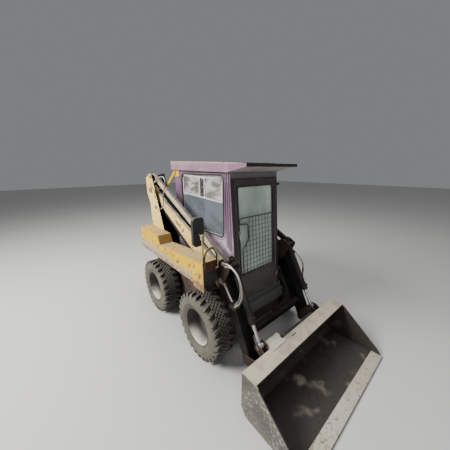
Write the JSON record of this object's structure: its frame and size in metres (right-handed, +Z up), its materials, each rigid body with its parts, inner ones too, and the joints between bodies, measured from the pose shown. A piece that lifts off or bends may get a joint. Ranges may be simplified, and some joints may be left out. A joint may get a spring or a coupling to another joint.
{
  "type": "skid steer loader",
  "caption": "Compact wheeled loader with an enclosed cab, levelling arms beside it, an upright linkage at the rear and a wide front bucket.",
  "frame": {"origin": "on the floor, in the middle of the machine length and width", "axes": "+Z up, -Y forward towards the bucket, +X towards the left side of the machine"},
  "size_m": [1.6, 3.15, 2.17],
  "materials": {
    "paint_yellow": "worn satin",
    "paint_cream": "faded satin",
    "paint_mauve": "faded satin",
    "paint_dark": "dusty satin",
    "steel_dark": "dusty, rusted",
    "rim_grey": "dusty",
    "tyre_rubber": "dusty",
    "rod_chrome": "polished",
    "pin_steel": "worn",
    "bucket_steel": "scuffed bare steel",
    "engine_iron": "oily",
    "window_glass": "dusty",
    "seat_vinyl": "matt vinyl",
    "lever_plastic": "matt",
    "hose_rubber": "dusty",
    "paint_white": "worn",
    "lamp_plastic": "dusty",
    "weight_iron": "painted, worn"
  },
  "bodies": {
    "root": {"chassis": "steel_dark", "chain_cases": "steel_dark", "axle_front": "steel_dark", "axle_rear": "steel_dark", "engine": "engine_iron", "counterweight": "weight_iron", "fender_left": "paint_yellow", "fender_right": "paint_yellow", "tower_left": "paint_cream", "tower_right": "paint_cream", "cab_floor": "paint_dark", "cab_side_left": "paint_mauve", "cab_side_right": "paint_mauve", "side_windows": "window_glass", "cab_rear": "paint_mauve", "rear_window": "window_glass", "cab_roof": "paint_mauve", "cab_visor": "paint_dark", "cab_front": "paint_dark", "seat_base": "steel_dark", "seat_cushion": "seat_vinyl", "seat_back": "seat_vinyl", "control_levers": "lever_plastic", "bulkhead": "paint_dark", "bay_sides": "paint_yellow", "mirror": "lever_plastic", "window_frames": "paint_white", "tower_hoses": "hose_rubber", "cab_braces": "paint_yellow", "tail_lamps": "lamp_plastic"},
    "boom": {"arm_left": "paint_yellow", "arm_right": "paint_yellow", "arm_cross_tube": "steel_dark", "leg_hoses_left": "hose_rubber", "leg_hoses_right": "hose_rubber"},
    "tie_rods": {"tie_rods": "paint_yellow"},
    "levers": {"levers": "paint_yellow"},
    "tilt_pins": {"tilt_pins": "pin_steel"},
    "tilt_barrels": {"tilt_barrels": "paint_dark"},
    "tilt_rods": {"tilt_rods": "rod_chrome"},
    "bucket_pins": {"bucket_pins": "pin_steel"},
    "bucket": {"bucket": "bucket_steel", "bucket_ears": "steel_dark"},
    "lift_barrels": {"lift_barrels": "paint_dark"},
    "lift_rods": {"lift_rods": "rod_chrome"},
    "cab_door": {"cab_door": "paint_dark", "door_glass": "window_glass", "door_guard": "steel_dark"},
    "hood": {"hood": "paint_yellow"},
    "rear_door": {"rear_door": "paint_yellow"},
    "wheel_front_left": {"tyre_front_left": "tyre_rubber", "rim_front_left": "rim_grey"},
    "wheel_front_right": {"tyre_front_right": "tyre_rubber", "rim_front_right": "rim_grey"},
    "wheel_rear_left": {"tyre_rear_left": "tyre_rubber", "rim_rear_left": "rim_grey"},
    "wheel_rear_right": {"tyre_rear_right": "tyre_rubber", "rim_rear_right": "rim_grey"}
  },
  "joints": [
    {"name": "boom_lift", "type": "hinge", "parent": "root", "child": "boom", "pos_m": [0, 1.182, 1.77], "axis": [-1, 0, 0], "range_deg": [0, 60]},
    {"name": "tie_rod_swing", "type": "hinge", "parent": "root", "child": "tie_rods", "pos_m": [0, 1.15, 1.965], "axis": [-1, 0, 0], "range_deg": [0, 60]},
    {"name": "lever_level", "type": "hinge", "parent": "boom", "child": "levers", "pos_m": [0, -0.385, 0.958], "axis": [-1, 0, 0], "range_deg": [-60, 0]},
    {"name": "tilt_pin_turn", "type": "hinge", "parent": "levers", "child": "tilt_pins", "pos_m": [0, -0.48, 1.133], "axis": [-1, 0, 0], "range_deg": [0, 60]},
    {"name": "tilt_barrel_swing", "type": "hinge", "parent": "tilt_pins", "child": "tilt_barrels", "pos_m": [0, -0.48, 1.133], "axis": [-1, 0, 0], "range_deg": [-2.2, 3.8]},
    {"name": "tilt_rod_slide", "type": "slide", "parent": "tilt_barrels", "child": "tilt_rods", "axis": [0, -0.4755, -0.8797], "range_m": [-0.074, 0.133]},
    {"name": "bucket_pin_turn", "type": "hinge", "parent": "boom", "child": "bucket_pins", "pos_m": [0, -0.765, 0.255], "axis": [-1, 0, 0], "range_deg": [-60, 0]},
    {"name": "bucket_tilt", "type": "hinge", "parent": "bucket_pins", "child": "bucket", "pos_m": [0, -0.765, 0.255], "axis": [-1, 0, 0], "range_deg": [-45, 25]},
    {"name": "lift_barrel_swing", "type": "hinge", "parent": "root", "child": "lift_barrels", "pos_m": [0, 1.03, 1.54], "axis": [-1, 0, 0], "range_deg": [0, 66]},
    {"name": "lift_rod_slide", "type": "slide", "parent": "lift_barrels", "child": "lift_rods", "axis": [0, -0.8738, -0.4863], "range_m": [0, 0.225]},
    {"name": "cab_door_swing", "type": "hinge", "parent": "root", "child": "cab_door", "pos_m": [0.331, -0.39196, 1.20103], "axis": [0, 0.0859, 0.9963], "range_deg": [0, 95]},
    {"name": "hood_lift", "type": "hinge", "parent": "root", "child": "hood", "pos_m": [0, 0.846, 1.272], "axis": [1, 0, 0], "range_deg": [0, 50]},
    {"name": "rear_door_swing", "type": "hinge", "parent": "root", "child": "rear_door", "pos_m": [0.452, 1.519, 0.84], "axis": [0, 0, -1], "range_deg": [0, 110]},
    {"name": "wheel_front_left_roll", "type": "hinge", "parent": "root", "child": "wheel_front_left", "pos_m": [0.648, -0.193, 0.38], "axis": [1, 0, 0], "continuous": true},
    {"name": "wheel_front_right_roll", "type": "hinge", "parent": "root", "child": "wheel_front_right", "pos_m": [-0.648, -0.193, 0.38], "axis": [1, 0, 0], "continuous": true},
    {"name": "wheel_rear_left_roll", "type": "hinge", "parent": "root", "child": "wheel_rear_left", "pos_m": [0.648, 0.943, 0.38], "axis": [1, 0, 0], "continuous": true},
    {"name": "wheel_rear_right_roll", "type": "hinge", "parent": "root", "child": "wheel_rear_right", "pos_m": [-0.648, 0.943, 0.38], "axis": [1, 0, 0], "continuous": true}
  ],
  "couplings": [
    {"joint": "tie_rod_swing", "follows": "boom_lift", "ratio": 1},
    {"joint": "lever_level", "follows": "boom_lift", "ratio": -1},
    {"joint": "tilt_pin_turn", "follows": "boom_lift", "ratio": 1},
    {"joint": "bucket_pin_turn", "follows": "boom_lift", "ratio": -1},
    {"joint": "lift_barrel_swing", "follows": "boom_lift", "ratio": 1.0978},
    {"joint": "lift_rod_slide", "follows": "boom_lift", "m_per_rad": 0.21415},
    {"joint": "tilt_barrel_swing", "follows": "bucket_tilt", "ratio": -0.082475},
    {"joint": "tilt_rod_slide", "follows": "bucket_tilt", "m_per_rad": -0.16776}
  ]
}
